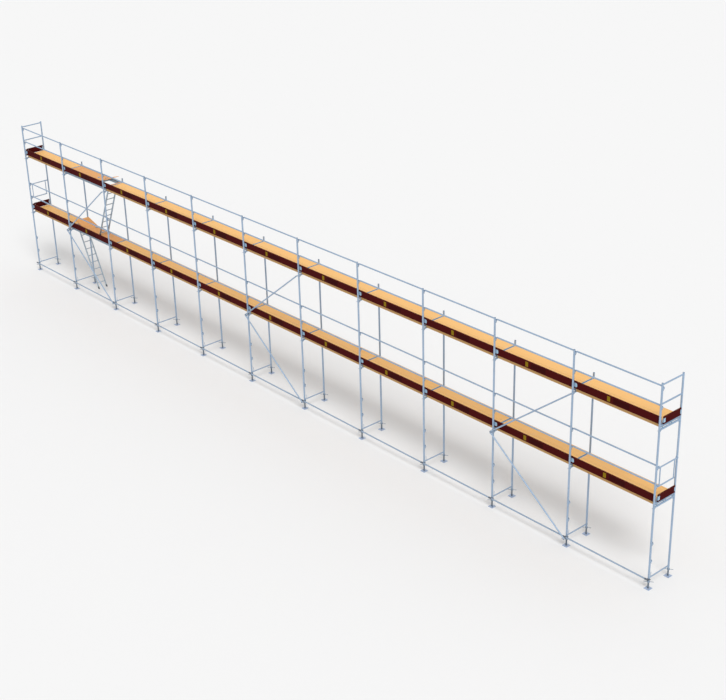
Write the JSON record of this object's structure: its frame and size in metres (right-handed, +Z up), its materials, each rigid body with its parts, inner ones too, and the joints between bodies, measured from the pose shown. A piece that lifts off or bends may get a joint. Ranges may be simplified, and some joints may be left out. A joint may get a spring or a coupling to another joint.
{
  "type": "frame scaffold section",
  "caption": "Facade frame scaffold with decks on two levels, guardrails, toe boards, end guards, diagonal braces, hatch decks with ladders, and screw jacks.",
  "frame": {"origin": "middle of the underside of frame line 1's front base plate, on the ground", "axes": "+X along the scaffold from the first frame line to the last, +Y from the front standards to the wall side, +Z up"},
  "size_m": [27.7008, 0.939, 5.353],
  "materials": {
    "galvanised_tube": "hot-dip galvanised tube, spangled and slightly dulled",
    "jack_steel": "rolled thread, dark zinc with grease, plate lighter",
    "cast_nut": "galvanised casting",
    "coupler_steel": "dark galvanised forging",
    "pressed_steel": "galvanised sheet",
    "pin_steel": "zinc-plated pin",
    "deck_timber": "oiled light timber, worn on top",
    "access_plywood": "film-faced light plywood",
    "deck_aluminium": "mill-finish extrusion",
    "ladder_aluminium": "mill-finish extrusion",
    "toe_board_paint": "dark maroon painted timber"
  },
  "bodies": {
    "scaffold": {"frame_line_01": "galvanised_tube", "frame_line_02": "galvanised_tube", "frame_line_03": "galvanised_tube", "frame_line_04": "galvanised_tube", "frame_line_05": "galvanised_tube", "frame_line_06": "galvanised_tube", "frame_line_07": "galvanised_tube", "frame_line_08": "galvanised_tube", "frame_line_09": "galvanised_tube", "frame_line_10": "galvanised_tube", "frame_line_11": "galvanised_tube", "frame_line_12": "galvanised_tube", "jack_nuts": "cast_nut", "deck_boards_lower": "deck_timber", "deck_boards_upper": "deck_timber", "deck_claws": "pressed_steel", "access_deck_frames": "deck_aluminium", "access_deck_panels": "access_plywood", "hinge_pins": "pin_steel", "guardrails": "galvanised_tube", "guardrail_posts": "galvanised_tube", "end_guard_frames": "galvanised_tube", "double_end_guardrails": "galvanised_tube", "toe_boards": "toe_board_paint", "toe_board_clips": "pressed_steel", "end_toe_boards": "toe_board_paint", "base_ledgers": "galvanised_tube", "diagonal_braces": "galvanised_tube", "couplers": "coupler_steel"},
    "jack_front_01_screw": {"jack_front_01": "jack_steel"},
    "jack_rear_01_screw": {"jack_rear_01": "jack_steel"},
    "jack_front_02_screw": {"jack_front_02": "jack_steel"},
    "jack_rear_02_screw": {"jack_rear_02": "jack_steel"},
    "jack_front_03_screw": {"jack_front_03": "jack_steel"},
    "jack_rear_03_screw": {"jack_rear_03": "jack_steel"},
    "jack_front_04_screw": {"jack_front_04": "jack_steel"},
    "jack_rear_04_screw": {"jack_rear_04": "jack_steel"},
    "jack_front_05_screw": {"jack_front_05": "jack_steel"},
    "jack_rear_05_screw": {"jack_rear_05": "jack_steel"},
    "jack_front_06_screw": {"jack_front_06": "jack_steel"},
    "jack_rear_06_screw": {"jack_rear_06": "jack_steel"},
    "jack_front_07_screw": {"jack_front_07": "jack_steel"},
    "jack_rear_07_screw": {"jack_rear_07": "jack_steel"},
    "jack_front_08_screw": {"jack_front_08": "jack_steel"},
    "jack_rear_08_screw": {"jack_rear_08": "jack_steel"},
    "jack_front_09_screw": {"jack_front_09": "jack_steel"},
    "jack_rear_09_screw": {"jack_rear_09": "jack_steel"},
    "jack_front_10_screw": {"jack_front_10": "jack_steel"},
    "jack_rear_10_screw": {"jack_rear_10": "jack_steel"},
    "jack_front_11_screw": {"jack_front_11": "jack_steel"},
    "jack_rear_11_screw": {"jack_rear_11": "jack_steel"},
    "jack_front_12_screw": {"jack_front_12": "jack_steel"},
    "jack_rear_12_screw": {"jack_rear_12": "jack_steel"},
    "lower_hatch": {"hatch_lid_lower": "access_plywood", "hatch_hinge_lower": "pressed_steel"},
    "upper_hatch": {"hatch_lid_upper": "access_plywood", "hatch_hinge_upper": "pressed_steel"},
    "lower_ladder": {"ladder_lower": "ladder_aluminium"},
    "upper_ladder": {"ladder_upper": "ladder_aluminium"},
    "wedges": {"guardrail_wedges": "cast_nut"}
  },
  "joints": [
    {"name": "jack_front_01_height", "type": "slide", "parent": "scaffold", "child": "jack_front_01_screw", "axis": [0, 0, 1], "range_m": [-0.2, 0.12]},
    {"name": "jack_rear_01_height", "type": "slide", "parent": "scaffold", "child": "jack_rear_01_screw", "axis": [0, 0, 1], "range_m": [-0.2, 0.12]},
    {"name": "jack_front_02_height", "type": "slide", "parent": "scaffold", "child": "jack_front_02_screw", "axis": [0, 0, 1], "range_m": [-0.2, 0.12]},
    {"name": "jack_rear_02_height", "type": "slide", "parent": "scaffold", "child": "jack_rear_02_screw", "axis": [0, 0, 1], "range_m": [-0.2, 0.12]},
    {"name": "jack_front_03_height", "type": "slide", "parent": "scaffold", "child": "jack_front_03_screw", "axis": [0, 0, 1], "range_m": [-0.2, 0.12]},
    {"name": "jack_rear_03_height", "type": "slide", "parent": "scaffold", "child": "jack_rear_03_screw", "axis": [0, 0, 1], "range_m": [-0.2, 0.12]},
    {"name": "jack_front_04_height", "type": "slide", "parent": "scaffold", "child": "jack_front_04_screw", "axis": [0, 0, 1], "range_m": [-0.2, 0.12]},
    {"name": "jack_rear_04_height", "type": "slide", "parent": "scaffold", "child": "jack_rear_04_screw", "axis": [0, 0, 1], "range_m": [-0.2, 0.12]},
    {"name": "jack_front_05_height", "type": "slide", "parent": "scaffold", "child": "jack_front_05_screw", "axis": [0, 0, 1], "range_m": [-0.2, 0.12]},
    {"name": "jack_rear_05_height", "type": "slide", "parent": "scaffold", "child": "jack_rear_05_screw", "axis": [0, 0, 1], "range_m": [-0.2, 0.12]},
    {"name": "jack_front_06_height", "type": "slide", "parent": "scaffold", "child": "jack_front_06_screw", "axis": [0, 0, 1], "range_m": [-0.2, 0.12]},
    {"name": "jack_rear_06_height", "type": "slide", "parent": "scaffold", "child": "jack_rear_06_screw", "axis": [0, 0, 1], "range_m": [-0.2, 0.12]},
    {"name": "jack_front_07_height", "type": "slide", "parent": "scaffold", "child": "jack_front_07_screw", "axis": [0, 0, 1], "range_m": [-0.2, 0.12]},
    {"name": "jack_rear_07_height", "type": "slide", "parent": "scaffold", "child": "jack_rear_07_screw", "axis": [0, 0, 1], "range_m": [-0.2, 0.12]},
    {"name": "jack_front_08_height", "type": "slide", "parent": "scaffold", "child": "jack_front_08_screw", "axis": [0, 0, 1], "range_m": [-0.2, 0.12]},
    {"name": "jack_rear_08_height", "type": "slide", "parent": "scaffold", "child": "jack_rear_08_screw", "axis": [0, 0, 1], "range_m": [-0.2, 0.12]},
    {"name": "jack_front_09_height", "type": "slide", "parent": "scaffold", "child": "jack_front_09_screw", "axis": [0, 0, 1], "range_m": [-0.2, 0.12]},
    {"name": "jack_rear_09_height", "type": "slide", "parent": "scaffold", "child": "jack_rear_09_screw", "axis": [0, 0, 1], "range_m": [-0.2, 0.12]},
    {"name": "jack_front_10_height", "type": "slide", "parent": "scaffold", "child": "jack_front_10_screw", "axis": [0, 0, 1], "range_m": [-0.2, 0.12]},
    {"name": "jack_rear_10_height", "type": "slide", "parent": "scaffold", "child": "jack_rear_10_screw", "axis": [0, 0, 1], "range_m": [-0.2, 0.12]},
    {"name": "jack_front_11_height", "type": "slide", "parent": "scaffold", "child": "jack_front_11_screw", "axis": [0, 0, 1], "range_m": [-0.2, 0.12]},
    {"name": "jack_rear_11_height", "type": "slide", "parent": "scaffold", "child": "jack_rear_11_screw", "axis": [0, 0, 1], "range_m": [-0.2, 0.12]},
    {"name": "jack_front_12_height", "type": "slide", "parent": "scaffold", "child": "jack_front_12_screw", "axis": [0, 0, 1], "range_m": [-0.2, 0.12]},
    {"name": "jack_rear_12_height", "type": "slide", "parent": "scaffold", "child": "jack_rear_12_screw", "axis": [0, 0, 1], "range_m": [-0.2, 0.12]},
    {"name": "lower_hatch_hinge", "type": "hinge", "parent": "scaffold", "child": "lower_hatch", "pos_m": [3.257, 0.44, 2.328], "axis": [0, 1, 0], "range_deg": [-17.5, 72.5]},
    {"name": "upper_hatch_hinge", "type": "hinge", "parent": "scaffold", "child": "upper_hatch", "pos_m": [4.243, 0.44, 4.328], "axis": [0, -1, 0], "range_deg": [-17.5, 72.5]},
    {"name": "lower_ladder_pivot", "type": "hinge", "parent": "scaffold", "child": "lower_ladder", "pos_m": [2.635, 0.425, 2.215], "axis": [0, -1, 0], "range_deg": [0, 62]},
    {"name": "upper_ladder_pivot", "type": "hinge", "parent": "scaffold", "child": "upper_ladder", "pos_m": [4.865, 0.425, 4.215], "axis": [0, 1, 0], "range_deg": [0, 62]},
    {"name": "wedge_lift", "type": "slide", "parent": "scaffold", "child": "wedges", "axis": [0, 0, 1], "range_m": [0, 0.024]}
  ]
}
